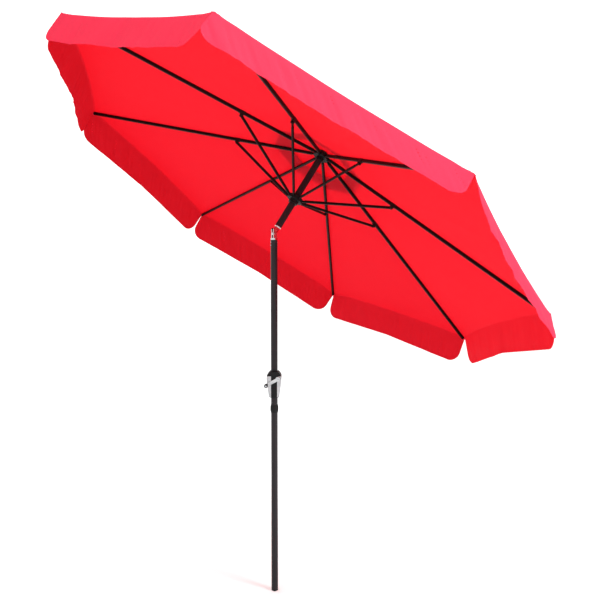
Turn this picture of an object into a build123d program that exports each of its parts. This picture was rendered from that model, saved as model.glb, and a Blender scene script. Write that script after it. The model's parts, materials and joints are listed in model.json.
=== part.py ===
from build123d import *
from math import atan2, cos, degrees, hypot, radians, sin, tan
import os

# A three-metre, eight-rib market umbrella, open and tilted. Millimetres and degrees.
# The origin is the centre of the pole's foot, +Z runs up the pole, and the canopy leans
# towards +X about a hinge that runs along Y. Everything above the hinge is drawn upright
# in the mast's own frame, whose origin is the hinge, and is then leaned over.

# ---- pole
POLE_R = 19.0
POLE_WALL = 1.2
SWAGED_R = 18.7
SWAGED_LENGTH = 22.0
PLUG_LIP, PLUG_EDGE, PLUG_DEPTH, PLUG_WALL = 10.0, 4.0, 28.0, 4.0
JOINT_Z = 1053.0
LINER_WALL, LINER_REACH = 1.5, 70.0
COLLAR_HALF, COLLAR_WAIST, COLLAR_BELLY = 22.0, 1.6, 3.9
SHOULDER = 1.0
FORK_SEAT_Z = 2000.0
HINGE_Z = 2036.7
TILT = 34.2
RUNNING = 0.05
CLEAR = 0.3

# ---- crown, runner and frame
RIBS = 8
CROWN_Z = 535.0
RUNNER_DROP = 300.0
PIVOT_R = 38.0
CROWN_R = 46.0
SLEEVE_R = 27.0
SLOT_W = 5.6
SLOT_R = 29.0
CROWN_H = 24.0
RUNNER_H, RUNNER_DISC_H = 56.0, 22.0
PIN_R = 2.0
RIB_W, RIB_H, RIB_WALL = 12.0, 18.0, 0.7
STRUT_W, STRUT_H, STRUT_WALL = 10.0, 15.0, 0.6
TUBE_CORNER = 2.5
TONGUE_T, TONGUE_L, CRIMP_L = 5.0, 26.0, 8.0
TIP_R = 1500.0
TIP_DROP = 321.0
TIP_BACK = 14.0
STRUT_JOINT_R = 518.5
JOINT_BELOW_RIB = 18.5
JOINT_PIN_R, PIN_HEAD_R, PIN_HEAD_T = 2.5, 4.0, 2.6
JOINT_HOLE_R = 4.0
SADDLE_WALL, SADDLE_HALF, SADDLE_LOBE_R, SADDLE_TOP = 1.5, 17.0, 8.0, 8.9

# ---- canopy
CLOTH = 1.0
CLOTH_ABOVE_RIB = 10.0
CORNER_R = TIP_R + 4
EDGE_SCOOP = 38.0
VENT_R = 195.0
CAP_R = 300.0
CAP_HOLE_R = 22.0
CAP_RISE, CAP_SCOOP = 14.0, 5.0
SEAM_GAP = 0.4
FLAP_DEPTH = 172.0
FLAP_CORNER = 70.0
FLAP_TAPER, FLAP_START = 10.0, 1.5
# How far the hanging flaps swing outwards of the canopy's axis, from rib 1 to 2, 2 to 3, and so on.
FLAP_LEANS = (24.0, 6.0, -2.0, -7.0, 1.0, 28.0, 35.0, 38.0)

# ---- winch
WINCH_TURN = -27.56
CASE_TOP, CASE_SHOULDER, CASE_FOOT = 1266.0, 1246.0, 1123.0
CASE_TOP_W, CASE_SHOULDER_W, CASE_FOOT_W = 50.0, 80.0, 54.0
CASE_FRONT, CASE_BACK, CASE_WALL = -46.0, 26.0, 2.5
CHEEK_T = 2.0
CHEEK_EDGE = 17.0
CRANK_X, CRANK_Z = 22.0, 1227.0
AXLE_R = 4.0
DRUM_R = 12.0
CRANK_LENGTH = 75.0
CRANK_ANGLE = 207.6
ARM_W, ARM_T = 18.0, 5.0
KNOB_R, KNOB_L = 10.5, 26.0
KNOB_PIN_R = 2.5

BORE_FIT_R = POLE_R - POLE_WALL - RUNNING
SLOPE = degrees(atan2(TIP_DROP, TIP_R - PIVOT_R))
RIB_LENGTH = hypot(TIP_DROP, TIP_R - PIVOT_R)
STEP = 360 / RIBS
HALF = STEP / 2
MAST = Location((0, 0, HINGE_Z), (0, TILT, 0))
WINCH = Location((0, 0, 0), (0, 0, WINCH_TURN))
AROUND = [Location((0, 0, 0), (0, 0, STEP * k)) for k in range(RIBS)]


def save(name, *solids):
    """One STEP file for a node, of one solid or of several alike."""
    shape = solids[0] if len(solids) == 1 else Compound(children=list(solids))
    export_step(shape, f"parts/{name}.step")


def rod(radius, low, high):
    return Pos(0, 0, low) * extrude(Circle(radius), high - low)


def pipe(outer, inner, low, high):
    return Pos(0, 0, low) * extrude(Circle(outer) - Circle(inner), high - low)


def cross_rod(radius, x, z, low, high):
    """A round bar along Y, from y = low to y = high."""
    return Pos(x, low, z) * Rot(-90, 0, 0) * extrude(Circle(radius), high - low)


def block(x, y, z):
    """A box between two limits on each axis."""
    return Pos(sum(x) / 2, sum(y) / 2, sum(z) / 2) * Box(x[1] - x[0], y[1] - y[0], z[1] - z[0])


def turned(points):
    """A solid of revolution about Z, from its half outline in X and Z."""
    return revolve(Plane.XZ * make_face(Polyline(*points, close=True)), Axis.Z)


# ---------------------------------------------------------------- pole


def foot_plug():
    lip = fillet(rod(SWAGED_R, 0, PLUG_LIP).edges().group_by(Axis.Z)[0], PLUG_EDGE)
    spigot = pipe(BORE_FIT_R, BORE_FIT_R - PLUG_WALL, PLUG_LIP, PLUG_LIP + PLUG_DEPTH)
    return lip + spigot


def pole_tube(low, high):
    return pipe(POLE_R, POLE_R - POLE_WALL, low, high)


def lower_pole():
    """The half of the pole that stands in a base, with a slightly swaged top end."""
    neck = JOINT_Z - SWAGED_LENGTH
    return pole_tube(PLUG_LIP, neck) + pipe(SWAGED_R, POLE_R - POLE_WALL, neck, JOINT_Z - SHOULDER)


def pole_joint_sleeve():
    """The inner tube that lines the two pole halves up."""
    return pipe(BORE_FIT_R, BORE_FIT_R - LINER_WALL, JOINT_Z - LINER_REACH, JOINT_Z + LINER_REACH)


def pole_collar():
    """The barrel-shaped ring that covers the joint between the pole halves."""
    bore, low_bore, inner = POLE_R + RUNNING, SWAGED_R + RUNNING, POLE_R - POLE_WALL + RUNNING
    waist, belly, tall = POLE_R + COLLAR_WAIST, POLE_R + COLLAR_BELLY, COLLAR_HALF
    outline = [
        (low_bore, -tall), (waist, -tall), (waist + 0.6, -tall + 5), (belly, -tall + 11),
        (belly, tall - 12), (waist + 0.6, tall - 4), (waist, tall), (bore, tall),
        (bore, SHOULDER), (inner, SHOULDER), (inner, -SHOULDER), (low_bore, -SHOULDER),
    ]
    return Pos(0, 0, JOINT_Z) * turned(outline)


# ---------------------------------------------------------------- winch, drawn facing -Y


def case_outline(grow=0.0):
    """The shield-shaped front view of the winch case, in X and Z."""
    right = [
        (CASE_FOOT_W / 2, CASE_FOOT), (CASE_SHOULDER_W / 2, CASE_SHOULDER - 22),
        (CASE_SHOULDER_W / 2, CASE_SHOULDER), (CASE_TOP_W / 2, CASE_TOP),
    ]
    left = [(-x, z) for x, z in reversed(right)]
    shield = make_face(Polyline(*right, *left, close=True))
    shield = fillet(shield.vertices(), 5)
    return offset(shield, grow) if grow else shield


def slab(outline, front, back):
    """A front-view outline pushed from y = front to y = back."""
    return Pos(0, back, 0) * extrude(Plane.XZ * outline, back - front)


POLE_HOLE = rod(POLE_R + RUNNING, CASE_FOOT - 5, CASE_TOP + 5)
SCREWS = [(side * x, z) for x, z in ((26.5, CASE_TOP - 12), (22.6, CASE_FOOT + 14)) for side in (-1, 1)]
SPLIT_Y = 2.0


def case_half(front, back):
    """A half shell of the winch case, open towards the other half."""
    hollow = case_outline(-CASE_WALL)
    inner_front = front + CASE_WALL if front == CASE_FRONT else front
    inner_back = back - CASE_WALL if back == CASE_BACK else back
    posts = [cross_rod(4, x, z, front, back) for x, z in SCREWS]
    shell = slab(case_outline(), front, back) - slab(hollow, inner_front, inner_back) + posts
    return shell - POLE_HOLE - [cross_rod(1.6, x, z, CASE_FRONT + 6, CASE_BACK) for x, z in SCREWS]


def winch_case_front():
    """The front shell, with the crank's two bearings in it."""
    boss = cross_rod(8.5, CRANK_X, CRANK_Z, CASE_FRONT, CASE_FRONT + 8)
    web = block((CRANK_X - 13, CASE_SHOULDER_W / 2 - 1), (-23.5, -20.5), (CRANK_Z - 14, CRANK_Z + 14))
    shell = case_half(CASE_FRONT, SPLIT_Y) + boss + web
    return shell - cross_rod(AXLE_R + RUNNING, CRANK_X, CRANK_Z, CASE_FRONT - 1, -19)


def winch_case_back():
    heads = [cross_rod(3.2, x, z, CASE_BACK - 3, CASE_BACK) for x, z in SCREWS]
    return case_half(SPLIT_Y, CASE_BACK) - heads


def winch_cheeks():
    """The two silver side covers that wrap the case's flanks and the edges of its front."""
    front, back = CASE_FRONT - CHEEK_T, CASE_BACK - 7
    case_room = slab(case_outline(RUNNING), CASE_FRONT - RUNNING, back)
    skin = slab(case_outline(CHEEK_T), front, back) - case_room
    skin -= cross_rod(15, CRANK_X, CRANK_Z, front - 1, CASE_FRONT)
    low, high, wide = CASE_FOOT + 3, CASE_SHOULDER - 4, CASE_SHOULDER_W
    right = skin & block((CHEEK_EDGE, wide), (front, back), (low, high))
    left = skin & block((-wide, -CHEEK_EDGE), (front, back), (low, high))
    return right.solids()[0], left.solids()[0]


def case_screws():
    shank = [cross_rod(1.5, x, z, CASE_FRONT + 8, CASE_BACK - 2.8) for x, z in SCREWS]
    head = [cross_rod(3.0, x, z, CASE_BACK - 2.8, CASE_BACK - 0.6) for x, z in SCREWS]
    slot = [block((x - 2, x + 2), (CASE_BACK - 1.2, CASE_BACK), (z - 0.4, z + 0.4)) for x, z in SCREWS]
    return [(a + b - c) for a, b, c in zip(shank, head, slot)]


def line_spool():
    """The drum that the lift line winds on, keyed to the crank axle."""
    low, high = -36.5, -24.5
    drum = cross_rod(DRUM_R, CRANK_X, CRANK_Z, low, high)
    flanges = [cross_rod(15.5, CRANK_X, CRANK_Z, y, y + 1.5) for y in (low, high - 1.5)]
    return drum + flanges - cross_rod(AXLE_R, CRANK_X, CRANK_Z, low - 1, high + 1)


ARM_BACK = CASE_FRONT - CHEEK_T - 2.5
ARM_FRONT = ARM_BACK - ARM_T
KNOB_X = CRANK_X + CRANK_LENGTH * cos(radians(CRANK_ANGLE))
KNOB_Z = CRANK_Z + CRANK_LENGTH * sin(radians(CRANK_ANGLE))


def crank_axle():
    shaft = cross_rod(AXLE_R, CRANK_X, CRANK_Z, ARM_BACK, -19.5)
    nose = cross_rod(AXLE_R - 1, CRANK_X, CRANK_Z, ARM_FRONT - 1.5, ARM_BACK)
    collar = cross_rod(7, CRANK_X, CRANK_Z, ARM_BACK + 0.2, CASE_FRONT - 0.3)
    return shaft + nose + collar


def crank_arm():
    """A cast arm with a round boss at the axle and a row of shallow dimples along its face."""
    bar = Pos(CRANK_LENGTH / 2, 0) * Rectangle(CRANK_LENGTH, ARM_W)
    bar += Circle(14) + Pos(CRANK_LENGTH, 0) * Circle(ARM_W / 2)
    bar -= Circle(AXLE_R - 1) + Pos(CRANK_LENGTH, 0) * Circle(KNOB_PIN_R)
    body = extrude(bar, ARM_T)
    body = chamfer(body.faces().sort_by(Axis.Z)[-1].outer_wire().edges(), 0.8)
    dimples = [Pos(20 + 10 * i, 0, ARM_T - 1) * extrude(Circle(2.8), 1.1) for i in range(5)]
    boss_ring = Pos(0, 0, ARM_T - 1) * extrude(Circle(11) - Circle(8.5), 1.1)
    body = body - dimples - boss_ring
    return Pos(CRANK_X, ARM_BACK, CRANK_Z) * Rot(90, 0, 0) * Rot(0, 0, CRANK_ANGLE) * body


KNOB_BACK = ARM_FRONT - 0.5
KNOB_FRONT = KNOB_BACK - KNOB_L


def crank_knob_pin():
    pin = cross_rod(KNOB_PIN_R, KNOB_X, KNOB_Z, KNOB_FRONT + 2.6, ARM_BACK + 0.8)
    return pin + cross_rod(5, KNOB_X, KNOB_Z, KNOB_FRONT + 1.2, KNOB_FRONT + 2.6)


def crank_knob():
    """The free-turning grip, waisted, with a recess for the pin's head."""
    outline = [
        (KNOB_PIN_R + RUNNING, 0), (KNOB_R - 1, 0), (KNOB_R, 2), (KNOB_R - 2.2, KNOB_L * 0.45),
        (KNOB_R, KNOB_L - 5), (KNOB_R - 1.5, KNOB_L), (5.6, KNOB_L), (5.6, KNOB_L - 3),
        (KNOB_PIN_R + RUNNING, KNOB_L - 3),
    ]
    return Pos(KNOB_X, KNOB_BACK, KNOB_Z) * Rot(90, 0, 0) * turned(outline)


# ---------------------------------------------------------------- tilt joint

FORK_GAP, FORK_T = 16.0, 7.0
FORK_TOP = 31.0
CHEEK_HALF = 10.0
TILT_PIN_R, BUTTON_STEM_R = 5.0, 3.0
MAST_END = 45.0
BUTTON_R, BUTTON_TRAVEL = 7.0, 3.0
FORK_SIDE = FORK_GAP / 2 + FORK_T


def tilt_fork():
    """The polished casting plugged into the fixed pole: a round base and two cheeks."""
    base = rod(POLE_R, FORK_SEAT_Z, FORK_SEAT_Z + 10)
    plug = pipe(BORE_FIT_R, 11, FORK_SEAT_Z - 40, FORK_SEAT_Z)
    fork = base + plug
    for side in (-1, 1):
        y = sorted((side * FORK_GAP / 2, side * FORK_SIDE))
        cheek = block((-CHEEK_HALF, CHEEK_HALF), y, (FORK_SEAT_Z, HINGE_Z + FORK_TOP - CHEEK_HALF))
        fork += cheek + cross_rod(CHEEK_HALF, 0, HINGE_Z + FORK_TOP - CHEEK_HALF, *y)
    fork -= cross_rod(TILT_PIN_R, 0, HINGE_Z, -POLE_R, POLE_R)
    recess = cross_rod(BUTTON_R + CLEAR, 0, HINGE_Z, -FORK_SIDE, -FORK_SIDE + BUTTON_TRAVEL + 1)
    return fork - recess


def tilt_knuckle():
    """The tongue riveted into the leaning pole. In the mast's frame."""
    thick, half = FORK_GAP / 2 - CLEAR, 12.0
    tongue = block((-half, half), (-thick, thick), (0, MAST_END + 2)) + cross_rod(half, 0, 0, -thick, thick)
    flange = rod(POLE_R, MAST_END - 3, MAST_END)
    plug = rod(BORE_FIT_R, MAST_END, MAST_END + 34)
    hollow = rod(10, MAST_END + 10, MAST_END + 35)
    return tongue + flange + plug - hollow - cross_rod(TILT_PIN_R + RUNNING, 0, 0, -POLE_R, POLE_R)


def tilt_pin():
    """The hollow hinge pin, closed at its far end, that the button's stem slides in."""
    pin = cross_rod(TILT_PIN_R, 0, HINGE_Z, -FORK_SIDE + BUTTON_TRAVEL + 1, FORK_SIDE)
    head = cross_rod(TILT_PIN_R + 2, 0, HINGE_Z, FORK_SIDE, FORK_SIDE + 1.8)
    return pin + head - cross_rod(BUTTON_STEM_R + RUNNING, 0, HINGE_Z, -FORK_SIDE, FORK_SIDE - 3)


def tilt_button():
    cap = cross_rod(BUTTON_R, 0, HINGE_Z, -FORK_SIDE - 3.2, -FORK_SIDE + 0.8)
    return cap + cross_rod(BUTTON_STEM_R, 0, HINGE_Z, -FORK_SIDE, -3)


def tilt_spring():
    """The return spring behind the button's stem, in the bore of the pin."""
    wire, coil, length, turns = 0.35, 2.3, 12.0, 5
    path = Helix(pitch=length / turns, height=length, radius=coil)
    start = Plane(origin=path @ 0, z_dir=path % 0)
    spring = sweep(start * Circle(wire), path=path, is_frenet=True)
    return Pos(0, -2.4, HINGE_Z) * Rot(-90, 0, 0) * spring


def rivets(heights):
    """Rivets through the pole wall into a plug, in pairs across the pole."""
    made = []
    for z in heights:
        for side in (0, 180):
            shank = Pos(POLE_R - 5, 0, z) * Rot(0, 90, 0) * extrude(Circle(2), 5.2)
            dome = Pos(POLE_R + 0.02, 0, z) * Rot(0, 90, 0) * extrude(Circle(3.6), 1.4)
            made.append(Rot(0, 0, side) * (shank + dome))
    return made


def with_rivet_holes(solid, heights):
    for z in heights:
        for side in (0, 180):
            bore = Pos(POLE_R - 5, 0, z) * Rot(0, 90, 0) * extrude(Circle(2), 8)
            solid -= Rot(0, 0, side) * bore
    return solid


FORK_RIVETS = [FORK_SEAT_Z - 12, FORK_SEAT_Z - 30]

# ---------------------------------------------------------------- crown and runner


def slots(z_low, z_high):
    slot = block((SLOT_R, CROWN_R + 1), (-SLOT_W / 2, SLOT_W / 2), (z_low, z_high))
    return [turn * slot for turn in AROUND]


def pivot_pins(z):
    """One short pin across each slot."""
    return [turn * cross_rod(PIN_R, PIVOT_R, z, -9.5, 9.5) for turn in AROUND]


def notched_disc(z, tall):
    disc = rod(CROWN_R, z - tall / 2, z + tall / 2)
    disc = chamfer(disc.edges().filter_by(GeomType.CIRCLE), 1.5)
    return disc - slots(z - tall / 2, z + tall / 2) - pivot_pins(z)


MAST_TOP = CROWN_Z + 4
CROWN_TOP = CROWN_Z + CROWN_H / 2
BOSS_TOP = CROWN_TOP + 12
SOCKET_R, SOCKET_DEPTH, BOSS_R, STUD_R = 23.0, 30.0, 20.0, 4.0
PULLEY_R, PULLEY_GROOVE_R, PULLEY_HALF, PULLEY_AXLE_R = 13.0, 10.5, 4.0, 2.0
PULLEY_Z = CROWN_Z - 16


def crown_hub():
    """The notched head that the ribs hang in, with a socket for the mast and a pulley inside."""
    socket = rod(SOCKET_R, CROWN_Z - SOCKET_DEPTH, CROWN_Z - CROWN_H / 2)
    boss = rod(BOSS_R, CROWN_TOP, BOSS_TOP)
    hub = notched_disc(CROWN_Z, CROWN_H) + socket + boss
    hub -= rod(POLE_R + RUNNING, CROWN_Z - SOCKET_DEPTH - 1, MAST_TOP)
    return hub - rod(STUD_R, MAST_TOP + 4, BOSS_TOP + 1)


def line_pulley():
    """The grooved wheel in the mast's top that the lift line turns over."""
    bore, rim, half = PULLEY_AXLE_R + RUNNING, PULLEY_R, PULLEY_HALF
    outline = [(bore, -half), (rim, -half), (PULLEY_GROOVE_R, 0), (rim, half), (bore, half)]
    return Pos(0, 0, PULLEY_Z) * Rot(90, 0, 0) * turned(outline)


def pulley_axle():
    return cross_rod(PULLEY_AXLE_R, 0, PULLEY_Z, -POLE_R + 0.2, POLE_R - 0.2)


def mast_pole():
    """The leaning half of the pole, drilled for the pulley's axle."""
    return pole_tube(MAST_END, MAST_TOP) - cross_rod(PULLEY_AXLE_R, 0, PULLEY_Z, -POLE_R - 1, POLE_R + 1)


def finial():
    """The turned knob that clamps the vent cap on the crown."""
    z = BOSS_TOP + 6
    outline = [
        (0, z), (30, z), (30.5, z + 2.5), (22, z + 6), (13, z + 9), (11, z + 13), (16, z + 18),
        (18.5, z + 26), (16.5, z + 35), (9, z + 42), (0, z + 44),
    ]
    stud = rod(STUD_R - RUNNING, MAST_TOP + 6, z)
    return turned(outline) + stud + rod(BOSS_R - 0.5, BOSS_TOP, z)


RUNNER_Z = CROWN_Z - RUNNER_DROP


def runner():
    """The sliding ring on the mast that the struts push on."""
    low, high = RUNNER_Z - RUNNER_H / 2 - 2, RUNNER_Z + RUNNER_H / 2 - 4
    body = notched_disc(RUNNER_Z, RUNNER_DISC_H) + rod(SLEEVE_R, low, high)
    body -= slots(RUNNER_Z - RUNNER_DISC_H / 2, RUNNER_Z + RUNNER_DISC_H / 2)
    return body - rod(POLE_R + CLEAR + RUNNING, low - 1, high + 1)


# ---------------------------------------------------------------- ribs and struts

RIB_PLACE = Location((PIVOT_R, 0, CROWN_Z), (0, SLOPE, 0))


def box_tube(width, height, wall, start, length):
    """A rounded rectangular tube along X."""
    section = RectangleRounded(width, height, TUBE_CORNER)
    section -= RectangleRounded(width - 2 * wall, height - 2 * wall, TUBE_CORNER - wall - RUNNING)
    return Pos(start, 0, 0) * extrude(Plane.YZ * section, length)


def crimp(width, height, start, length):
    """The closed stretch of a tube where it narrows to its flattened end."""
    return Pos(start, 0, 0) * extrude(Plane.YZ * RectangleRounded(width, height, TUBE_CORNER), length)


def flat_end(x, reach, radius, hole):
    """A flattened, drilled tube end centred on x, joined to the tube at x + reach."""
    low, high = sorted((x, x + reach))
    plate = block((low, high), (-TONGUE_T / 2, TONGUE_T / 2), (-radius, radius))
    plate += cross_rod(radius, x, 0, -TONGUE_T / 2, TONGUE_T / 2)
    return plate - cross_rod(hole, x, 0, -TONGUE_T, TONGUE_T)


def rib():
    root = flat_end(0, TONGUE_L, 7, PIN_R + RUNNING) + crimp(RIB_W, RIB_H, TONGUE_L - 2, CRIMP_L + 2)
    start = TONGUE_L + CRIMP_L
    return root + box_tube(RIB_W, RIB_H, RIB_WALL, start, RIB_LENGTH - start - TIP_BACK)


JOINT_X = (STRUT_JOINT_R - PIVOT_R) / cos(radians(SLOPE))


def strut_bracket():
    """The saddle under a rib that holds the strut's pin between two cheeks."""
    inside, outside = RIB_W / 2 + RUNNING, RIB_W / 2 + RUNNING + SADDLE_WALL
    long, lobe, under = SADDLE_HALF, SADDLE_LOBE_R, -RIB_H / 2 - RUNNING
    saddle = block((JOINT_X + long - 8, JOINT_X + long), (-outside, outside), (under - SADDLE_WALL, under))
    for side in (-1, 1):
        y = sorted((side * inside, side * outside))
        saddle += block((JOINT_X - long, JOINT_X + long), y, (under - SADDLE_WALL, SADDLE_TOP))
        saddle += block((JOINT_X - lobe, JOINT_X + lobe), y, (-JOINT_BELOW_RIB, 0))
        saddle += cross_rod(lobe, JOINT_X, -JOINT_BELOW_RIB, *y)
    return saddle - cross_rod(JOINT_PIN_R, JOINT_X, -JOINT_BELOW_RIB, -RIB_W, RIB_W)


def strut_pin():
    cheek = RIB_W / 2 + RUNNING + SADDLE_WALL + RUNNING
    ends = (-cheek - PIN_HEAD_T, -cheek), (cheek, cheek + PIN_HEAD_T)
    heads = [cross_rod(PIN_HEAD_R, JOINT_X, -JOINT_BELOW_RIB, *y) for y in ends]
    return cross_rod(JOINT_PIN_R, JOINT_X, -JOINT_BELOW_RIB, -cheek - 1, cheek + 1) + heads


def rib_tip():
    """The plastic plug in the rib's end that the cloth's corner pocket slips over."""
    end = RIB_LENGTH - TIP_BACK
    plug = Pos(end - 26, 0, 0) * extrude(Plane.YZ * RectangleRounded(RIB_W - 2, RIB_H - 2, 1.4), 26)
    cap = Pos(end, 0, 0) * extrude(Plane.YZ * RectangleRounded(RIB_W + 1.5, RIB_H - 0.5, 3), 8)
    cap = fillet(cap.edges().group_by(Axis.X)[-1], 2.5)
    return plug + cap


RUNNER_PIVOT = (PIVOT_R, RUNNER_Z)
JOINT_AT = (
    PIVOT_R + JOINT_X * cos(radians(SLOPE)) - JOINT_BELOW_RIB * sin(radians(SLOPE)),
    CROWN_Z - JOINT_X * sin(radians(SLOPE)) - JOINT_BELOW_RIB * cos(radians(SLOPE)),
)
STRUT_LENGTH = hypot(JOINT_AT[0] - RUNNER_PIVOT[0], JOINT_AT[1] - RUNNER_PIVOT[1])
STRUT_RISE = degrees(atan2(JOINT_AT[1] - RUNNER_PIVOT[1], JOINT_AT[0] - RUNNER_PIVOT[0]))
STRUT_PLACE = Location((RUNNER_PIVOT[0], 0, RUNNER_PIVOT[1]), (0, -STRUT_RISE, 0))


def strut():
    start, end = TONGUE_L + CRIMP_L - 2, STRUT_LENGTH - TONGUE_L - CRIMP_L - 4
    inner = flat_end(0, TONGUE_L, 6, PIN_R + RUNNING) + crimp(STRUT_W, STRUT_H, start - CRIMP_L, CRIMP_L)
    outer = flat_end(STRUT_LENGTH, -TONGUE_L - 6, 7.5, JOINT_HOLE_R) + crimp(STRUT_W, STRUT_H, end, CRIMP_L)
    return inner + outer + box_tube(STRUT_W, STRUT_H, STRUT_WALL, start, end - start)


# ---------------------------------------------------------------- canopy

FALL = tan(radians(SLOPE))
CLOTH_Z = CROWN_Z + CLOTH_ABOVE_RIB / cos(radians(SLOPE)) + PIVOT_R * FALL
EDGE_MID_R = CORNER_R * cos(radians(HALF)) - EDGE_SCOOP


def on_panel(radius, angle, lift=0.0, gap=0.0):
    """A point of the sloping panel beside the rib at angle 0, by its radius and bearing.

    The gap moves it back from the panel's middle line, towards the rib.
    """
    side = 1 if angle > 0 else -1
    middle = Vector(cos(radians(HALF)), side * sin(radians(HALF)), 0)
    across = Vector(sin(radians(HALF)), -side * cos(radians(HALF)), 0)
    point = Vector(cos(radians(angle)), sin(radians(angle)), 0) * radius + across * gap
    return point + Vector(0, 0, CLOTH_Z + lift - FALL / cos(radians(HALF)) * point.dot(middle))


def sheet(points, thickness, along):
    """A flat sheet through the points, thickened along a direction."""
    return extrude(Face(Wire.make_polygon(points)), amount=thickness, dir=along)


def half_panel(side, inner, outer, outer_mid, lift):
    corners = [
        on_panel(inner, side * 1e-9, lift), on_panel(outer, side * 1e-9, lift),
        on_panel(outer_mid, side * HALF, lift, SEAM_GAP),
        on_panel(inner * cos(radians(HALF)), side * HALF, lift, SEAM_GAP),
    ]
    return sheet(corners, CLOTH, (0, 0, 1))


def half_flap(side, lean):
    """Half of the hanging flap beside the rib, with its rounded lower corner."""
    lean = radians(lean)
    middle = Vector(cos(radians(HALF)), side * sin(radians(HALF)), 0)
    hang = middle * sin(lean) - Vector(0, 0, cos(lean))
    corner = on_panel(CORNER_R, side * 1e-9)
    mid = on_panel(EDGE_MID_R, side * HALF, gap=SEAM_GAP)
    along = (mid - corner).normalized()
    low_corner = corner + hang * FLAP_DEPTH + along * FLAP_TAPER
    tuck = hang * -CLOTH
    start = corner + along * FLAP_START
    outward = along.cross(hang) * -side
    points = [start + tuck, mid + tuck, mid + hang * FLAP_DEPTH, low_corner]
    face = Face(Wire.make_polygon([point - outward * CLOTH / 2 for point in points]))
    rounded = min(face.vertices(), key=lambda v: (Vector(*v) - low_corner).length)
    face = face.fillet_2d(FLAP_CORNER, [rounded])
    return extrude(face, amount=CLOTH, dir=outward)


def canopy_gore(k):
    """The cloth that rib k carries: half a panel and half a flap to each side."""
    halves = [
        half_panel(side, VENT_R, CORNER_R, EDGE_MID_R, 0) + half_flap(side, lean)
        for side, lean in ((1, FLAP_LEANS[k]), (-1, FLAP_LEANS[k - 1]))
    ]
    return halves[0] + halves[1]


def vent_gore():
    """The same rib's share of the vent cap, raised above the panels."""
    edge_middle = CAP_R * cos(radians(HALF)) - CAP_SCOOP
    left, right = [half_panel(side, CAP_HOLE_R, CAP_R, edge_middle, CAP_RISE) for side in (1, -1)]
    return left + right


# ---------------------------------------------------------------- the nodes


def main():
    os.makedirs("parts", exist_ok=True)
    save("foot_plug", foot_plug())
    save("lower_pole", lower_pole())
    save("pole_joint_sleeve", pole_joint_sleeve())
    save("pole_collar", pole_collar())
    save("middle_pole", with_rivet_holes(pole_tube(JOINT_Z + SHOULDER, FORK_SEAT_Z), FORK_RIVETS))

    save("winch_case_front", WINCH * winch_case_front())
    save("winch_case_back", WINCH * winch_case_back())
    save("winch_cheeks", *[WINCH * cheek for cheek in winch_cheeks()])
    save("winch_screws", *[WINCH * screw for screw in case_screws()])
    save("line_spool", WINCH * line_spool())
    save("crank_axle", WINCH * crank_axle())
    save("crank_arm", WINCH * crank_arm())
    save("crank_knob_pin", WINCH * crank_knob_pin())
    save("crank_knob", WINCH * crank_knob())

    save("tilt_fork", with_rivet_holes(tilt_fork(), FORK_RIVETS))
    save("tilt_fork_rivets", *rivets(FORK_RIVETS))
    save("tilt_pin", tilt_pin())
    save("tilt_button", tilt_button())
    save("tilt_spring", tilt_spring())
    save("tilt_knuckle", MAST * tilt_knuckle())

    save("mast_pole", MAST * mast_pole())
    save("crown_hub", MAST * crown_hub())
    save("crown_pins", *[MAST * pin for pin in pivot_pins(CROWN_Z)])
    save("line_pulley", MAST * line_pulley())
    save("pulley_axle", MAST * pulley_axle())
    save("finial", MAST * finial())
    save("runner", MAST * runner())
    save("runner_pins", *[MAST * pin for pin in pivot_pins(RUNNER_Z)])

    rib_tube, bracket, pin, tip = rib(), strut_bracket(), strut_pin(), rib_tip()
    strut_tube, cap = strut(), vent_gore()
    for k, turn in enumerate(AROUND):
        place = MAST * turn
        save(f"rib_{k + 1}", place * RIB_PLACE * rib_tube)
        save(f"rib_fittings_{k + 1}", *[place * RIB_PLACE * fitting for fitting in (bracket, pin, tip)])
        save(f"strut_{k + 1}", place * STRUT_PLACE * strut_tube)
        save(f"canopy_gore_{k + 1}", place * canopy_gore(k), place * cap)
    print(f"rib slope {SLOPE:.3f}, strut rise {STRUT_RISE:.3f}, strut length {STRUT_LENGTH:.2f}")


main()
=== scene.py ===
# %% [markdown]
# This is an eight-rib market umbrella, standing open with its canopy tilted over. Its tubes,
# castings and moulded fittings are already made as precise solids, so this script only has to
# load them, dress them in finishes, and sew the canopy, which is what a solid modeller does badly.
# Everything is in metres, in the solids' own frame, so a seam can be worked out from a hinge.

# %% Load the solid parts
import json
from math import atan, atan2, cos, degrees, pi, radians, sin

import bpy
import numpy as np
from mathutils import Matrix, Vector, noise


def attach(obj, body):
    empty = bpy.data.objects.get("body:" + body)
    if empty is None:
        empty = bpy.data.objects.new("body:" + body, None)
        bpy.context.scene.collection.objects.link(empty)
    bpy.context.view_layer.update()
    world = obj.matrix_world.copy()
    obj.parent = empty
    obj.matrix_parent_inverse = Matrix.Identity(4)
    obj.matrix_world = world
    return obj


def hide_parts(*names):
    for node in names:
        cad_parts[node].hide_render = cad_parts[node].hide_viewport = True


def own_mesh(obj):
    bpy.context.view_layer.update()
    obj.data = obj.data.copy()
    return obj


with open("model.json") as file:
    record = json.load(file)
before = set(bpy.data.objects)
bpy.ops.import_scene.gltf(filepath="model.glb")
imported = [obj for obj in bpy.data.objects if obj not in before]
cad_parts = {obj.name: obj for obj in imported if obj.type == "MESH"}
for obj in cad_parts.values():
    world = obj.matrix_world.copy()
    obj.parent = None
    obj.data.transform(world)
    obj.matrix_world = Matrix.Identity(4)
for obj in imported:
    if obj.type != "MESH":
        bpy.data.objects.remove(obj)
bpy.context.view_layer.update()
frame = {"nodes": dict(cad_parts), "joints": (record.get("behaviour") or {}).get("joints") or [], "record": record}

NODES = frame["nodes"]
JOINTS = {joint["name"]: joint for joint in frame["joints"]}
RIBS = sum(name.startswith("rib_hinge_") for name in JOINTS)

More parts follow.
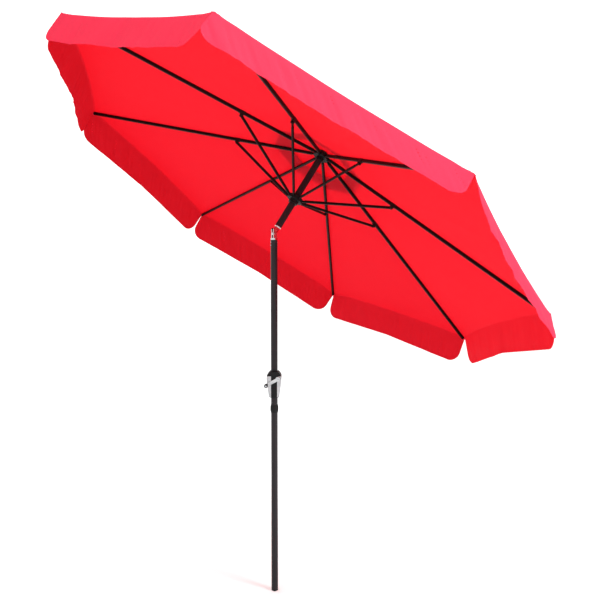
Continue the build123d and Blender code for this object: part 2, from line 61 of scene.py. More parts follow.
# %% [markdown]
# The canopy is drawn upright and then leaned over with its mast. The mast's frame could be typed in
# again, but two numbers that should agree sooner or later don't. So it is read from the joints: the
# tilt hinge is its origin, and the way that the runner slides is its axis.

# %% The mast's frame
HINGE = Vector(JOINTS["canopy_tilt"]["pos_m"])
UP = -Vector(JOINTS["runner_slide"]["axis"])
LEAN = atan2(UP.x, UP.z)
MAST = Matrix.Translation(HINGE) @ Matrix.Rotation(LEAN, 4, "Y")
TO_MAST = MAST.inverted()
CROWN = TO_MAST @ Vector(JOINTS["rib_hinge_1"]["pos_m"])
STEP = 2 * pi / RIBS
HALF = STEP / 2
print(f"the mast leans {degrees(LEAN):.1f} degrees; the ribs hinge {CROWN.x * 1000:.0f} mm out")


def in_mast(node):
    """A solid part's points in the mast's frame."""
    points = np.array([v.co for v in NODES[node].data.vertices])
    return points @ np.array(TO_MAST.to_3x3()).T + np.array(TO_MAST.translation)


# %% [markdown]
# Rib 1 lies straight along the lean, so its far end gives the slope that every rib shares.

# %% The ribs' slope
rib_points = in_mast("rib_1")
END_DEPTH = 0.005
rib_end = rib_points[rib_points[:, 0] > rib_points[:, 0].max() - END_DEPTH].mean(axis=0)
FALL = (CROWN.z - rib_end[2]) / (rib_end[0] - CROWN.x)
SLOPE = atan(FALL)
RIB_DIRECTION = Vector((cos(SLOPE), 0, -sin(SLOPE)))
RIB_NORMAL = Vector((sin(SLOPE), 0, cos(SLOPE)))
RIB_REACH = (Vector(rib_end) - CROWN).dot(RIB_DIRECTION)
print(f"a rib falls {degrees(SLOPE):.2f} degrees over {RIB_REACH:.3f} m")

# %% [markdown]
# Finishes are shader nodes. Wiring them one call at a time hides the arithmetic, so a small class
# wraps a socket and lets plain Python expressions add the Math nodes: `1 - mask * 0.3` makes two.
# Every other kind of node comes from one method, which takes its settings and then its sockets.


# %% Shader expressions
class Wire:
    """A shader socket that works in sums. Each operator adds one Math node."""

    def __init__(self, finish, socket):
        self.finish, self.socket = finish, socket

    def maths(self, operation, first, second=None):
        sockets = {0: first} if second is None else {0: first, 1: second}
        return self.finish.node("Math", {"operation": operation}, sockets)

    def __add__(self, other):
        return self.maths("ADD", self, other)

    def __sub__(self, other):
        return self.maths("SUBTRACT", self, other)

    def __rsub__(self, other):
        return self.maths("SUBTRACT", other, self)

    def __mul__(self, other):
        return self.maths("MULTIPLY", self, other)

    def wave(self):
        return self.maths("SINE", self)

    def steps_at(self, low, high):
        """0 below low and 1 above high, and smooth between them."""
        sockets = {"Value": self, "From Min": low, "From Max": high}
        return self.finish.node("MapRange", {"interpolation_type": "SMOOTHSTEP"}, sockets)

    __radd__ = __add__
    __rmul__ = __mul__


class Finish:
    """One material, built node by node."""

    def __init__(self, name):
        self.material = bpy.data.materials.new(name)
        self.material.use_nodes = True
        self.tree = self.material.node_tree
        self.tree.nodes.clear()

    def node(self, kind, settings=None, sockets=None, output=0):
        made = self.tree.nodes.new("ShaderNode" + kind)
        for name, value in (settings or {}).items():
            setattr(made, name, value)
        for name, value in (sockets or {}).items():
            if isinstance(value, Wire):
                self.tree.links.new(value.socket, made.inputs[name])
            else:
                made.inputs[name].default_value = value
        return Wire(self, made.outputs[output])

    def place(self):
        return self.node("TexCoord", output="Object")

    def noise(self, where, scale, detail=3.0, roughness=0.5):
        sockets = {"Vector": where, "Scale": scale, "Detail": detail, "Roughness": roughness}
        return self.node("TexNoise", sockets=sockets)

    def stretched(self, where, along):
        return self.node("Mapping", sockets={"Vector": where, "Scale": along})

    def blend(self, share, first, second):
        """A mix of two colours."""
        made = self.tree.nodes.new("ShaderNodeMix")
        made.data_type = "RGBA"
        self.tree.links.new(share.socket, made.inputs["Factor"])
        for socket, value in (("A", first), ("B", second)):
            target = next(s for s in made.inputs if s.name == socket and s.type == "RGBA")
            if isinstance(value, Wire):
                self.tree.links.new(value.socket, target)
            else:
                target.default_value = (*value, 1.0)
        return Wire(self, next(s for s in made.outputs if s.type == "RGBA"))

    def bump(self, height, distance, strength=1.0):
        return self.node("Bump", sockets={"Height": height, "Distance": distance, "Strength": strength})

    def surface(self, **sockets):
        """The Principled shader. A socket's name is written with _ for a space."""
        named = {name.replace("_", " "): value for name, value in sockets.items()}
        return self.node("BsdfPrincipled", sockets=named)

    def done(self, shader):
        out = self.tree.nodes.new("ShaderNodeOutputMaterial")
        self.tree.links.new(shader.socket, out.inputs["Surface"])
        print("finish:", self.material.name, len(self.tree.nodes), "nodes")
        return self.material


# %% [markdown]
# Powder coat is baked plastic dust: a satin skin with a faint orange peel, which picks up a little
# grey dust and thin rubbed streaks where hands slide along the tube. The peel is a fine noise in the
# bump, the dust a slow noise in the colour, and the streaks a noise pulled out along the tube.


# %% Powder-coated steel
def powder_coat(name, colour, rubbed, roughness, wear, shine, along=(1.0, 1.0, 0.06)):
    finish = Finish(name)
    where = finish.place()
    dust = finish.noise(where, 9.0).steps_at(0.35, 0.75)
    streaks = finish.noise(finish.stretched(where, along), 420.0, 5.0, 0.6).steps_at(0.62, 0.8)
    peel = finish.noise(where, 900.0, 2.0)
    tone = finish.blend(streaks * wear + dust * wear * 0.4, colour, rubbed)
    rough = roughness + dust * 0.08 - streaks * 0.1
    shader = finish.surface(
        Base_Color=tone, Roughness=rough, Specular_IOR_Level=shine,
        Normal=finish.bump(peel, 0.00012, 0.5),
    )
    return finish.done(shader)


POLE_BLACK = powder_coat(
    "pole_charcoal_coat", (0.013, 0.011, 0.013), (0.07, 0.066, 0.07),
    roughness=0.34, wear=0.15, shine=0.16,
)
FRAME_BLACK = powder_coat(
    "frame_black_coat", (0.004, 0.003, 0.003), (0.030, 0.026, 0.026),
    roughness=0.45, wear=0.15, shine=0.1, along=(1, 1, 1),
)

# %% [markdown]
# Moulded nylon is duller. The mould is etched, so the skin has a fine even grain, and the sharp
# corners of a worn part go slightly grey. A cell pattern makes a better grain than a cloud does,
# because etched pits touch one another.


# %% Moulded nylon and pressed fittings
def moulded(name, colour, scuffed, roughness, grain=1100.0):
    finish = Finish(name)
    where = finish.place()
    pits = finish.node("TexVoronoi", sockets={"Vector": where, "Scale": grain})
    scuffs = finish.noise(where, 160.0, 6.0, 0.65).steps_at(0.6, 0.78)
    tone = finish.blend(scuffs * 0.4, colour, scuffed)
    shader = finish.surface(
        Base_Color=tone, Roughness=roughness + scuffs * 0.12, Specular_IOR_Level=0.14,
        Normal=finish.bump(pits, 0.00015, 0.35),
    )
    return finish.done(shader)


NYLON_BLACK = moulded("nylon_black_grain", (0.006, 0.006, 0.0065), (0.030, 0.030, 0.031), 0.5)
FITTINGS_BLACK = moulded("fitting_black", (0.007, 0.006, 0.006), (0.045, 0.043, 0.045), 0.42, 1800.0)

# %% [markdown]
# Three bright finishes are left. The tilt casting and the crank arm are polished, so they are nearly
# mirrors with hairlines; the winch's cheeks are plastic under silver paint, which has a soft shine
# and fine flake; and the screws and pins are zinc plated, which is greyer and slightly cloudy.


# %% Bright metals
def bright(name, colour, cloudy, roughness, metallic, hairlines):
    finish = Finish(name)
    where = finish.place()
    cloud = finish.noise(where, 60.0, 4.0)
    lines = finish.noise(finish.stretched(where, (1.0, 1.0, 0.03)), 2600.0, 2.0)
    tone = finish.blend(cloud.steps_at(0.35, 0.7), colour, cloudy)
    shader = finish.surface(
        Base_Color=tone, Metallic=metallic, Roughness=roughness + cloud * 0.1 + lines * 0.05,
        Normal=finish.bump(lines, 0.00002, hairlines),
    )
    return finish.done(shader)


POLISHED = bright("polished_casting", (0.50, 0.50, 0.505), (0.38, 0.38, 0.39), 0.10, 1.0, 0.5)
SILVER = bright("silver_painted", (0.42, 0.42, 0.43), (0.34, 0.345, 0.355), 0.24, 0.75, 0.3)
ZINC = bright("zinc_plated", (0.40, 0.405, 0.42), (0.29, 0.295, 0.315), 0.26, 1.0, 0.6)

# %% [markdown]
# The canopy is plain-woven polyester. Two things make it look like cloth and not like painted card:
# the weave, and the light that comes through it. The weave follows the cloth's own UV map, which is
# in metres, so that a thread keeps its width on every panel. The light is a Translucent shader mixed
# with the surface. Both sides are one dye, but the outer side is painted paler and pinker, a painted
# sheen, and the inner side is painted darker, a painted shade, so that the inner side is mostly seen
# by the light that comes through, and where two layers lie over one another much less does.

# %% Canopy cloth
THREAD = 0.0011
GLOW = (0.92, 0.05, 0.085, 1.0)
THROUGH = 0.56


def canopy_cloth(name, deep, lit):
    finish = Finish(name)
    metres = finish.node("UVMap", {"uv_map": "cloth"})
    parts = finish.tree.nodes.new("ShaderNodeSeparateXYZ")
    finish.tree.links.new(metres.socket, parts.inputs[0])
    warp, weft = Wire(finish, parts.outputs["X"]), Wire(finish, parts.outputs["Y"])
    turns = 2 * pi / THREAD
    weave = (warp * turns).wave() * (weft * turns).wave()
    slubs = finish.noise(finish.stretched(metres, (900.0, 35.0, 1.0)), 1.0, 2.0)
    cross = finish.noise(finish.stretched(metres, (35.0, 900.0, 1.0)), 1.0, 2.0)
    shade = finish.noise(finish.place(), 2.6, 3.0)
    tone = finish.blend((slubs + cross).steps_at(0.7, 1.3) * 0.4 + shade * 0.5, deep, lit)
    normal = finish.bump(weave * 0.35 + slubs + cross, 0.00016, 0.45)
    surface = finish.surface(
        Base_Color=tone, Roughness=0.62 + slubs * 0.16, Normal=normal, Specular_IOR_Level=0.08,
    )
    glow = finish.node("BsdfTranslucent", sockets={"Color": GLOW, "Normal": normal})
    return finish.done(finish.node("MixShader", sockets={0: THROUGH, 1: surface, 2: glow}))


# One dye on both sides: the inner side's darker red is painted shade, and the outer side's paler, pinker red is a
# painted sheen.
CLOTH_INNER_PAINTED_SHADE = canopy_cloth("canopy_red_inner_painted_shade", (0.20, 0.011, 0.026), (0.25, 0.017, 0.036))
CLOTH_OUTER_PAINTED_SHEEN = canopy_cloth("canopy_red_outer_painted_sheen", (0.86, 0.044, 0.108), (0.94, 0.066, 0.150))

# %% [markdown]
# Sewing thread is the same dye on a harder, shinier fibre.


# %% Thread
def thread_finish():
    finish = Finish("canopy_red_thread")
    twist = finish.noise(finish.place(), 1500.0, 1.0)
    tone = finish.blend(twist.steps_at(0.4, 0.6), (0.55, 0.006, 0.012), (0.8, 0.03, 0.04))
    return finish.done(finish.surface(Base_Color=tone, Roughness=0.4 + twist * 0.2))


THREAD_RED = thread_finish()

# %% [markdown]
# Each solid part names the stock that it is made of. One table turns that into a finish, and each
# part gets it in all its material slots. The rib's fittings are the one mixed bag: a pressed saddle,
# a pin and a moulded tip share one finish, as they are all blackened.

# %% Dress the solid parts
FINISHES = {
    "pole_black": POLE_BLACK, "frame_black": FRAME_BLACK, "fittings_black": FITTINGS_BLACK,
    "nylon_black": NYLON_BLACK, "silver_plastic": SILVER, "polished_aluminium": POLISHED,
    "zinc_steel": ZINC, "canopy_red": CLOTH_OUTER_PAINTED_SHEEN,
}
for part in frame["record"]["subparts"]:
    for place in NODES[part["node"]].material_slots:
        place.material = FINISHES[part["material_slot"]]

# %% [markdown]
# Now the canopy. The real one is eight panels sewn together along the ribs, with a flap of valance
# sewn under each hem. A panel stretches between two ribs, and here each rib moves on its own body,
# so the cloth is cut the other way: each piece is what one rib carries, half a panel and half a flap
# to each side. Neighbours meet in the middle of a panel, where they share their points and their
# normals, so that the canopy still reads as one curved sheet.

# %% The canopy's cut
CORNER = 1.504  # from the mast's axis to a corner of the cloth
LIFT = 0.0105  # from a rib's middle line up to the cloth
VENT = 0.195  # from the axis to the top opening's corner
SCOOP = 0.038  # how far a hem curves in between two corners
SAG = 0.013  # how far a panel hollows between its ribs
FLAP = 0.172  # the valance's depth
FLAP_ROUND = 0.070  # the radius of its lower corners
FLAP_TAPER = 0.010  # how far it narrows at each end
LEANS = np.radians([24, 6, -2, -7, 1, 28, 35, 38])  # each panel's flap, out from hanging square
HEM_FOLD = 0.006  # the width of the bend from panel to flap
SEAM = 0.0075  # half the width of the seam over a rib
APEX = CROWN.z + LIFT / cos(SLOPE) + CROWN.x * FALL
GRAVITY = np.array(TO_MAST.to_3x3() @ Vector((0, 0, -1)))


def panel_height(point, side):
    """The height of the flat panel on one side of rib 1, over a point in plan."""
    return APEX - FALL / cos(HALF) * (point[0] * cos(HALF) + side * point[1] * sin(HALF))


def hem_scoop(share):
    """How far the hem is pulled in, from a corner at 0 to the panel's middle at 1."""
    return SCOOP * (0.82 * (1 - (1 - share) ** 2) + 0.18 * (1 - (1 - share) ** 12))


print(f"the cloth meets the axis {APEX:.3f} m above the hinge")

# %% [markdown]
# Tight cloth hollows between its ribs, puckers beside a seam, and creases towards the corner that
# pulls it. Each is a small bump of a noise that is faded out away from where it belongs. The noise
# is read at the place on the panel, never at random, so two neighbours agree on it exactly.


# %% Creases
PUCKER, CREASE, SLACK = 0.0011, 0.0035, 0.0035
FLAP_WAVE, FLAP_FLUTTER = 0.009, 0.0032


def ripple(x, y, panel, seed):
    """A smooth noise from -1 to 1, the same on both sides of a panel's middle."""
    return noise.noise(Vector((x, y, panel * 7.3 + seed)))


def panel_relief(radius, across, width, share, panel):
    """How far the panel stands out of its plane."""
    t = (radius - VENT) / (CORNER - VENT)
    hollow = -SAG * (1 - (1 - share) ** 2) * (4 * max(t, 0) * max(1 - t, 0)) ** 0.75
    beside_seam = np.exp(-across / 0.035) * min(1.0, across / 0.008)
    pucker = PUCKER * ripple(radius / 0.022, across / 0.05, panel, 1.0) * beside_seam
    from_corner = np.hypot(CORNER - radius, across)
    fold = CREASE * ripple(atan2(across, CORNER - radius + 0.02) * 6, from_corner / 0.4, panel, 2.0)
    slack = SLACK * ripple(radius / 0.24, (width - across) / 0.2, panel, 3.0) * share
    return hollow + pucker + fold * np.exp(-from_corner / 0.22) * min(1.0, across / 0.02) + slack


def flap_relief(from_middle, depth, panel):
    """How far the valance flap waves out of its plane, more towards its free edge."""
    free = depth / FLAP
    wave = FLAP_WAVE * ripple(from_middle / 0.11, depth / 0.5, panel, 4.0) * free ** 1.2
    fine = FLAP_FLUTTER * ripple(from_middle / 0.024, depth / 0.3, panel, 5.0) * min(1.0, free * 3)
    return wave + fine


# %% [markdown]
# The cloth could be a flat mesh that a cloth simulation pulls tight, but a stretched canopy hardly
# moves from its cut, so a grid worked out row by row gives a cleaner hem and an exact seam. Rows run
# from the vent down to the hem, round the fold, and down the flap; columns run from the rib to the
# panel's middle, and crowd together at the rib, where the seam is.

# %% One rib's share of cloth
SEAM_COLUMNS = np.array([0.0, 0.0035, 0.0065, SEAM])
PANEL_COLUMNS = np.linspace(0, 1, 49)[1:]
PANEL_ROWS = 80
FLAP_ROWS = 18
FLAP_DEPTHS = [HEM_FOLD] + [FLAP * sin(pi / 2 * i / FLAP_ROWS) for i in range(2, FLAP_ROWS + 1)]
COLUMNS = len(SEAM_COLUMNS) + len(PANEL_COLUMNS)


def columns(width):
    """Distances from the rib, from 0 to width."""
    return np.concatenate([SEAM_COLUMNS, SEAM + (width - SEAM) * PANEL_COLUMNS])


def flap_start(depth):
    """How far in from the corner the flap begins at this depth: a taper, then a round corner."""
    down = max(0.0, depth - (FLAP - FLAP_ROUND))
    rounding = FLAP_ROUND - np.sqrt(max(0.0, FLAP_ROUND**2 - down**2))
    return FLAP_TAPER * depth / FLAP + rounding


def panel_row(radius, side, panel, t):
    """A row of points across half a panel, at one radius along the rib."""
    middle = np.array([cos(HALF), side * sin(HALF), 0])
    across = np.array([-sin(HALF), side * cos(HALF), 0])
    tilt = atan(FALL / cos(HALF))
    normal = np.array([*(middle[:2] * sin(tilt)), cos(tilt)])
    width = radius * sin(HALF)
    row = []
    for distance in columns(width):
        share = distance / width
        point = np.array([radius, 0.0, 0.0]) + across * distance - middle * hem_scoop(share) * t**4
        point[2] = panel_height(point, side)
        row.append(point + normal * panel_relief(radius, distance, width, share, panel))
    return row


def flap_row(depth, side, panel, down):
    """A row of points across half a flap, at one depth below the hem, with gravity along `down`."""
    middle = np.array([cos(HALF), side * sin(HALF), 0])
    tangent = np.array([-side * sin(HALF), cos(HALF), 0])
    corner = np.array([CORNER, 0.0, APEX - FALL * CORNER])
    end = middle * (CORNER * cos(HALF) - SCOOP)
    end[2] = panel_height(end, side)
    hang = middle * sin(LEANS[panel]) - np.array([0, 0, cos(LEANS[panel])])
    width = np.linalg.norm(end - corner)
    along = (end - corner) / width
    outward = np.cross(hang, tangent)
    drift = depth * (down @ tangent) / (down @ hang)
    start = flap_start(depth)
    row = []
    for distance in start + columns(width - start):
        share = distance / width
        curve = middle * (SCOOP * share - hem_scoop(share)) * (1 - depth / FLAP)
        relief = flap_relief(-side * (width - distance) - drift, depth, panel)
        row.append(corner + along * distance + hang * depth + curve + outward * relief)
    return row


def turn_about_mast(k):
    """The matrix that takes rib 1's place to rib k's. A vector times it goes the other way."""
    c, s = cos(STEP * k), sin(STEP * k)
    return np.array([[c, -s, 0], [s, c, 0], [0, 0, 1]])


def half_gore(k, side):
    """The grid of one rib's cloth on one side, in rows from the vent to the flap's free edge."""
    panel = k if side > 0 else (k - 1) % RIBS
    shares = np.linspace(0, 1, PANEL_ROWS)
    last = 1 - HEM_FOLD / (CORNER - VENT)
    shares = np.append(shares[:-1], [last, 1.0])
    rows = [panel_row(VENT + (CORNER - VENT) * t, side, panel, t) for t in shares]
    down = GRAVITY @ turn_about_mast(k)
    rows += [flap_row(depth, side, panel, down) for depth in FLAP_DEPTHS]
    grid = np.array(rows)
    hem = PANEL_ROWS
    grid[hem] = grid[hem] / 2 + (grid[hem - 1] + grid[hem + 1]) / 4
    return grid


GRIDS = [{side: half_gore(k, side) for side in (1, -1)} for k in range(RIBS)]
print("each half gore has", GRIDS[0][1].shape[0], "rows of", COLUMNS)

# %% [markdown]
# A grid has no thickness yet. Solidify could give it one, but each piece would then lean its own way
# at the shared edge and a hairline would show. So the normals are worked out first, for all the cloth
# at once, averaged where two pieces meet, and then kept as the mesh's own normals.


# %% Normals, shared between neighbours
def grid_normals(grid, side):
    down, across = np.gradient(grid, axis=0), np.gradient(grid, axis=1)
    normals = np.cross(down, across) * side
    return normals / np.linalg.norm(normals, axis=2, keepdims=True)


def turned(vectors, k):
    """Vectors on rib 1's cloth, turned round the mast to rib k + 1."""
    return vectors @ turn_about_mast(k).T


def share_normals(grids, rib_rows):
    """Normals of all the half gores, which agree at the panels' middles and along the ribs."""
    normals = [{side: grid_normals(grid[side], side) for side in (1, -1)} for grid in grids]
    for k in range(RIBS):
        after = (k + 1) % RIBS
        here, there = turned(normals[k][1][:, -1], k), turned(normals[after][-1][:, -1], after)
        mean = here + there
        mean /= np.linalg.norm(mean, axis=1, keepdims=True)
        normals[k][1][:, -1] = turned(mean, -k)
        normals[after][-1][:, -1] = turned(mean, -after)
        rib = normals[k][1][:rib_rows, 0] + normals[k][-1][:rib_rows, 0]
        rib /= np.linalg.norm(rib, axis=1, keepdims=True)
        normals[k][1][:rib_rows, 0] = normals[k][-1][:rib_rows, 0] = rib
    return normals


NORMALS = share_normals(GRIDS, PANEL_ROWS + 1)
print("normals worked out for", 2 * RIBS, "half gores")

# %% [markdown]
# The two halves are joined into one skin along the rib, as far as the hem; below it the flaps hang
# apart, which leaves the notch at the corner. The skin then becomes two, a little apart, closed by a
# rim all round. A hem is the same cloth turned under twice, and a seam is four layers deep, so the
# skins stand further apart there. Skins carry the shared normals, and the rim carries its own.

# %% From grids to closed cloth
CLOTH = 0.0008
TURNED = 0.0007  # what the turned layers of a hem or a seam add
HEM_WIDTH = 0.013
TURNED_ROWS = [PANEL_ROWS + 1 + i for i, depth in enumerate(FLAP_DEPTHS) if depth > FLAP - HEM_WIDTH]


def add_layers(half, rows):
    """Adds a hem's or a seam's extra layers to some rows of half thicknesses."""
    half[rows] += TURNED / 2


def join_halves(grids, normals, halves, maps, joined_rows):
    """One skin from two half grids: its points, normals, half thicknesses and UVs; its faces."""
    rows, cols = grids[1].shape[:2]
    near = np.arange(rows * cols).reshape(rows, cols)
    far = near + rows * cols
    far[:joined_rows, 0] = near[:joined_rows, 0]
    both = {1: grids[1].copy(), -1: grids[-1]}
    both[1][:joined_rows, 0] = (grids[1][:joined_rows, 0] + grids[-1][:joined_rows, 0]) / 2
    quads = []
    for index, side in ((near, 1), (far, -1)):
        ring = index[:-1, :-1], index[1:, :-1], index[1:, 1:], index[:-1, 1:]
        square = np.stack(ring, axis=-1).reshape(-1, 4)
        quads.append(square if side > 0 else square[:, ::-1])
    stack = [np.concatenate([part[side].reshape(rows * cols, -1) for side in (1, -1)])
             for part in (both, normals, halves, maps)]
    quads = np.concatenate(quads)
    used = np.unique(quads)
    renumber = np.zeros(2 * rows * cols, int)
    renumber[used] = np.arange(len(used))
    return [part[used] for part in stack], renumber[quads]


def closed_cloth(name, skin, quads, k):
    """A closed mesh, in its place on rib k + 1, from one skin, with the painted-sheen finish on its outer side and
    the painted-shade finish on its inner side.
    """
    points, normals, half, flat = skin
    count = len(points)
    edges = np.concatenate([quads[:, [i, (i + 1) % 4]] for i in range(4)])
    ways = {tuple(edge) for edge in edges.tolist()}
    rim = np.array([edge for edge in ways if edge[::-1] not in ways])
    rim = rim[np.lexsort((rim[:, 1], rim[:, 0]))]
    walls = np.column_stack([rim[:, 1], rim[:, 0], rim[:, 0] + count, rim[:, 1] + count])
    faces = np.concatenate([quads, quads[:, ::-1] + count, walls])
    place = MAST @ Matrix.Rotation(STEP * k, 4, "Z")
    turn, move = np.array(place.to_3x3()), np.array(place.translation)
    both = np.concatenate([points + normals * half, points - normals * half]) @ turn.T + move
    mesh = bpy.data.meshes.new(name)
    mesh.from_pydata(both.tolist(), [], faces.tolist())
    # The outer skin gets the painted-sheen finish and the inner skin the painted-shade finish.
    mesh.materials.append(CLOTH_OUTER_PAINTED_SHEEN)
    mesh.materials.append(CLOTH_INNER_PAINTED_SHADE)
    inner = np.zeros(len(faces), int)
    inner[len(quads):2 * len(quads)] = 1
    mesh.polygons.foreach_set("material_index", inner)
    corners = faces.reshape(-1)
    layer = mesh.uv_layers.new(name="cloth")
    layer.uv.foreach_set("vector", np.tile(flat, (2, 1))[corners].reshape(-1))
    mesh.polygons.foreach_set("use_smooth", np.ones(len(faces), bool))
    mesh.update()
    outward = np.concatenate([normals, -normals])[corners] @ turn.T
    wall_loops = 4 * 2 * len(quads)
    flats = np.array([face.normal for face in mesh.polygons[2 * len(quads):]])
    outward[wall_loops:] = np.repeat(flats, 4, axis=0)
    mesh.normals_split_custom_set(outward.tolist())
    made = bpy.data.objects.new(name, mesh)
    bpy.context.scene.collection.objects.link(made)
    return made


def cloth_area(piece):
    """The area of one layer of a closed cloth."""
    return sum(face.area for face in piece.data.polygons) / 2


def gore_half_thickness():
    half = np.full((PANEL_ROWS + 1 + len(FLAP_DEPTHS), COLUMNS), CLOTH / 2)
    half[:, : len(SEAM_COLUMNS) - 1] += TURNED / 2
    add_layers(half, [0, PANEL_ROWS - 1, PANEL_ROWS])
    add_layers(half, TURNED_ROWS)
    return half


def gore_map(side):
    """The UVs of half a gore: across from the seam and down from the vent, in metres."""
    radii = VENT + (CORNER - VENT) * np.linspace(0, 1, PANEL_ROWS + 1)
    across = [columns(radius * sin(HALF)) for radius in radii]
    along = list(radii / cos(SLOPE))
    width = CORNER * sin(HALF)
    for depth in FLAP_DEPTHS:
        start = flap_start(depth)
        across.append(start + columns(width - start))
        along.append(CORNER / cos(SLOPE) + depth)
    down = np.repeat(np.array(along)[:, None], COLUMNS, axis=1)
    return np.stack([side * np.array(across), down], axis=-1)


half_thickness, flat_maps = gore_half_thickness(), {side: gore_map(side) for side in (1, -1)}
GORES = []
for k in range(RIBS):
    skin, quads = join_halves(
        GRIDS[k], NORMALS[k], {1: half_thickness, -1: half_thickness}, flat_maps, PANEL_ROWS + 1,
    )
    GORES.append(closed_cloth(f"canopy_cloth_{k + 1}", skin, quads, k))
print("a gore has", len(GORES[0].data.polygons), "faces")
print(f"and {cloth_area(GORES[0]):.3f} square metres of cloth")

# %% [markdown]
# Over the vent sits a small cap, so that wind can escape between it and the panels. It is cut in the
# same eight gores and clamped under the finial, and its free hem rides a little above the panels.
# Only its rows need a function of their own: the normals, the joining and the closing are shared.

# %% The vent cap
CAP = 0.300
CAP_HOLE = 0.028
CAP_RISE = 0.0145
CAP_ROWS = 26
CAP_SCOOP = 0.009
CAP_HOLLOW = 0.006


def cap_row(radius, side, panel, t):
    middle = np.array([cos(HALF), side * sin(HALF), 0])
    across = np.array([-sin(HALF), side * cos(HALF), 0])
    width = radius * sin(HALF)
    row = []
    for distance in (width * c for c in CAP_COLUMNS):
        share = distance / width
        point = np.array([radius, 0.0, 0.0]) + across * distance
        point -= middle * CAP_SCOOP * (1 - (1 - share) ** 2) * t**3
        flutter = 0.0016 * ripple(radius / 0.07, (width - distance) / 0.045, panel, 6.0) * t**2 * share
        hollow = CAP_HOLLOW * (1 - (1 - share) ** 2) * sin(pi * min(t, 0.9))
        point[2] = panel_height(point, side) + CAP_RISE - hollow + flutter
        row.append(point)
    return row


CAP_COLUMNS = np.linspace(0, 1, 19)
CAP_SHARES = np.linspace(0, 1, CAP_ROWS)


def half_cap(k, side):
    panel = k if side > 0 else (k - 1) % RIBS
    return np.array([cap_row(CAP_HOLE + (CAP - CAP_HOLE) * t, side, panel, t) for t in CAP_SHARES])


def cap_map(side):
    radii = CAP_HOLE + (CAP - CAP_HOLE) * CAP_SHARES
    across = side * np.outer(radii * sin(HALF), CAP_COLUMNS)
    return np.stack([across, np.repeat(radii[:, None] / cos(SLOPE), len(CAP_COLUMNS), axis=1)], axis=-1)


cap_grids = [{side: half_cap(k, side) for side in (1, -1)} for k in range(RIBS)]
cap_normals = share_normals(cap_grids, CAP_ROWS)
cap_half = np.full((CAP_ROWS, len(CAP_COLUMNS)), CLOTH / 2)
add_layers(cap_half, [CAP_ROWS - 2, CAP_ROWS - 1])
cap_halves, cap_maps = {1: cap_half, -1: cap_half}, {side: cap_map(side) for side in (1, -1)}
CAPS = []
for k in range(RIBS):
    skin, quads = join_halves(cap_grids[k], cap_normals[k], cap_halves, cap_maps, CAP_ROWS)
    CAPS.append(closed_cloth(f"vent_cap_{k + 1}", skin, quads, k))
print(f"a cap gore has {cloth_area(CAPS[0]):.4f} square metres of cloth")

# %% [markdown]
# Stitches repeat thousands of times along lines that are already known, which is what Geometry Nodes
# are for. The tree takes the lines as loose edges, spaces points along them, and puts one small
# stitch on each, turned to the line and tilted a little at random, as a machine's thread lies. It
# ends by making the copies real and giving them their finish.


# %% The stitching tree
STITCH_TILT = 0.09


def stitch_tree(finish):
    tree = bpy.data.node_groups.new("stitching", "GeometryNodeTree")
    sockets = {
        "Lines": "NodeSocketGeometry", "Pitch": "NodeSocketFloat", "Stitch length": "NodeSocketFloat",
        "Thread radius": "NodeSocketFloat", "Seed": "NodeSocketInt",
    }
    made = {
        name: tree.interface.new_socket(name, in_out="INPUT", socket_type=kind)
        for name, kind in sockets.items()
    }
    tree.interface.new_socket("Stitches", in_out="OUTPUT", socket_type="NodeSocketGeometry")

    def node(kind, settings=None, sockets=None):
        added = tree.nodes.new(kind)
        for name, value in (settings or {}).items():
            setattr(added, name, value)
        for name, value in (sockets or {}).items():
            if isinstance(value, bpy.types.NodeSocket):
                tree.links.new(value, added.inputs[name])
            else:
                added.inputs[name].default_value = value
        return added

    given = node("NodeGroupInput").outputs
    lines = node("GeometryNodeMeshToCurve", sockets={"Mesh": given["Lines"]})
    spaced = node(
        "GeometryNodeResampleCurve", {"mode": "LENGTH"},
        {"Curve": lines.outputs[0], "Length": given["Pitch"]},
    )
    tangent = node("GeometryNodeInputTangent")
    tilt = node("FunctionNodeRandomValue", {"data_type": "FLOAT_VECTOR"}, {"Seed": given["Seed"]})
    tilt.inputs["Min"].default_value = (-STITCH_TILT,) * 3
    tilt.inputs["Max"].default_value = (STITCH_TILT,) * 3
    leaning = node(
        "ShaderNodeVectorMath", {"operation": "ADD"}, {0: tangent.outputs[0], 1: tilt.outputs[0]},
    )
    turned_to = node("FunctionNodeAlignRotationToVector", {"axis": "Z"}, {"Vector": leaning.outputs[0]})
    bead = node("GeometryNodeMeshUVSphere", sockets={"Segments": 6, "Rings": 4, "Radius": 1.0})
    size = node("ShaderNodeCombineXYZ", sockets={"X": given["Thread radius"], "Y": given["Thread radius"]})
    halved = node("ShaderNodeMath", {"operation": "MULTIPLY"}, {0: given["Stitch length"], 1: 0.5})
    tree.links.new(halved.outputs[0], size.inputs["Z"])
    sewn = node("GeometryNodeInstanceOnPoints", sockets={
        "Points": spaced.outputs[0], "Instance": bead.outputs[0],
        "Rotation": turned_to.outputs[0], "Scale": size.outputs[0],
    })
    real = node("GeometryNodeRealizeInstances", sockets={"Geometry": sewn.outputs[0]})
    smooth = node("GeometryNodeSetShadeSmooth", sockets={"Geometry": real.outputs[0]})
    coloured = node("GeometryNodeSetMaterial", sockets={"Geometry": smooth.outputs[0], "Material": finish})
    node("NodeGroupOutput", sockets={"Stitches": coloured.outputs[0]})
    return tree, {name: socket.identifier for name, socket in made.items()}


STITCHING, STITCH_INPUTS = stitch_tree(THREAD_RED)
print("the stitching tree has", len(STITCHING.nodes), "nodes")


